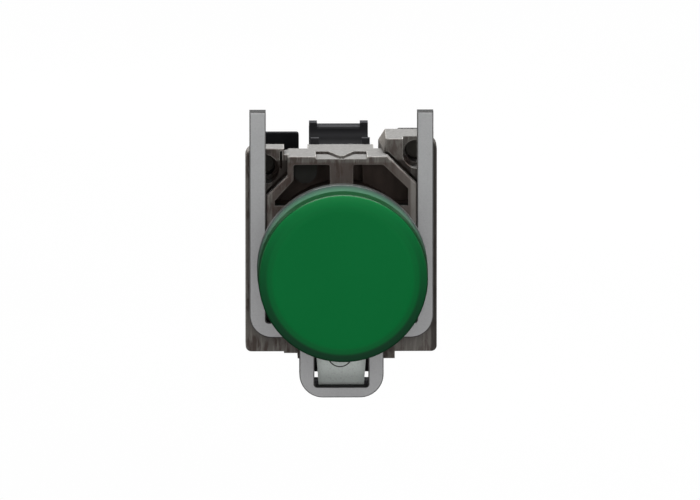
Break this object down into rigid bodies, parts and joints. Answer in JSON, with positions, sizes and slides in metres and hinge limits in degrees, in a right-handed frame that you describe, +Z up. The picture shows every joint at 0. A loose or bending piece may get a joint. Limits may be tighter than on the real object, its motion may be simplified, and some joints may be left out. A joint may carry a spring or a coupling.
{
  "type": "panel pilot light",
  "caption": "Round panel pilot light with domed green lens, chromed bezel, zinc fixing collar, release plate and rear lamp block.",
  "frame": {"origin": "on the lamp's axis, in the gasket's rear face, which lies on the panel's front", "axes": "+Y into the panel along the lamp's axis, +Z up, +X to the right seen from the front"},
  "size_m": [0.0306, 0.0552, 0.0476],
  "materials": {
    "green_lens": "glossy translucent green",
    "chrome_ring": "polished",
    "seal_rubber": "matte",
    "pale_diffuser": "satin translucent",
    "zinc_casting": "as-cast zinc alloy, satin grey",
    "spring_steel": "bright wire",
    "plate_steel": "pale zinc plated",
    "black_plastic": "fine moulded texture",
    "board": "lacquered board",
    "lamp_plastic": "clear lamp resin",
    "resistor_body": "lacquered",
    "terminal_brass": "plain",
    "terminal_steel": "zinc plated",
    "dark_screw": "blackened"
  },
  "bodies": {
    "fixed_body": {"lens": "green_lens", "bezel": "chrome_ring", "panel_gasket": "seal_rubber", "lens_seal": "seal_rubber", "diffuser": "pale_diffuser", "collar": "zinc_casting", "latch_spring": "spring_steel", "pry_tab": "plate_steel", "tab_rivet": "plate_steel", "screw_guide_left": "black_plastic", "screw_guide_right": "black_plastic", "module_housing": "black_plastic", "module_cover": "black_plastic", "circuit_board": "board", "led_lamp": "lamp_plastic", "resistor": "resistor_body", "rectifier": "black_plastic", "terminal_plate_top": "terminal_brass", "terminal_plate_bottom": "terminal_brass"},
    "release_plate": {"release_plate": "plate_steel"},
    "clamp_screw_left": {"clamp_screw_left": "dark_screw"},
    "clamp_screw_right": {"clamp_screw_right": "dark_screw"},
    "wire_clamp_top": {"wire_clamp_top": "terminal_brass"},
    "wire_clamp_bottom": {"wire_clamp_bottom": "terminal_brass"},
    "terminal_screw_top": {"terminal_screw_top": "terminal_steel"},
    "terminal_screw_bottom": {"terminal_screw_bottom": "terminal_steel"}
  },
  "joints": [
    {"name": "release_slide", "type": "slide", "parent": "fixed_body", "child": "release_plate", "axis": [0, 0, -1], "range_m": [0, 0.0016], "stiffness_N_per_m": 600, "springref_m": -0.002, "deforming": ["latch_spring"]},
    {"name": "clamp_turn_left", "type": "hinge", "parent": "fixed_body", "child": "clamp_screw_left", "pos_m": [-0.01232, 0.019, 0.01445], "axis": [0, -1, 0], "continuous": true},
    {"name": "clamp_turn_right", "type": "hinge", "parent": "fixed_body", "child": "clamp_screw_right", "pos_m": [0.01207, 0.019, 0.01671], "axis": [0, -1, 0], "continuous": true},
    {"name": "clamp_slide_top", "type": "slide", "parent": "fixed_body", "child": "wire_clamp_top", "axis": [0, -1, 0], "range_m": [0, 0.00181]},
    {"name": "terminal_turn_top", "type": "hinge", "parent": "wire_clamp_top", "child": "terminal_screw_top", "pos_m": [0, 0.036, 0.0092], "axis": [0, -1, 0], "range_deg": [0, 1080]},
    {"name": "clamp_slide_bottom", "type": "slide", "parent": "fixed_body", "child": "wire_clamp_bottom", "axis": [0, -1, 0], "range_m": [0, 0.00181]},
    {"name": "terminal_turn_bottom", "type": "hinge", "parent": "wire_clamp_bottom", "child": "terminal_screw_bottom", "pos_m": [0, 0.036, -0.0159], "axis": [0, -1, 0], "range_deg": [0, 1080]}
  ],
  "couplings": [
    {"joint": "clamp_slide_top", "follows": "terminal_turn_top", "m_per_rad": 0.000095493},
    {"joint": "clamp_slide_bottom", "follows": "terminal_turn_bottom", "m_per_rad": 0.000095493}
  ]
}
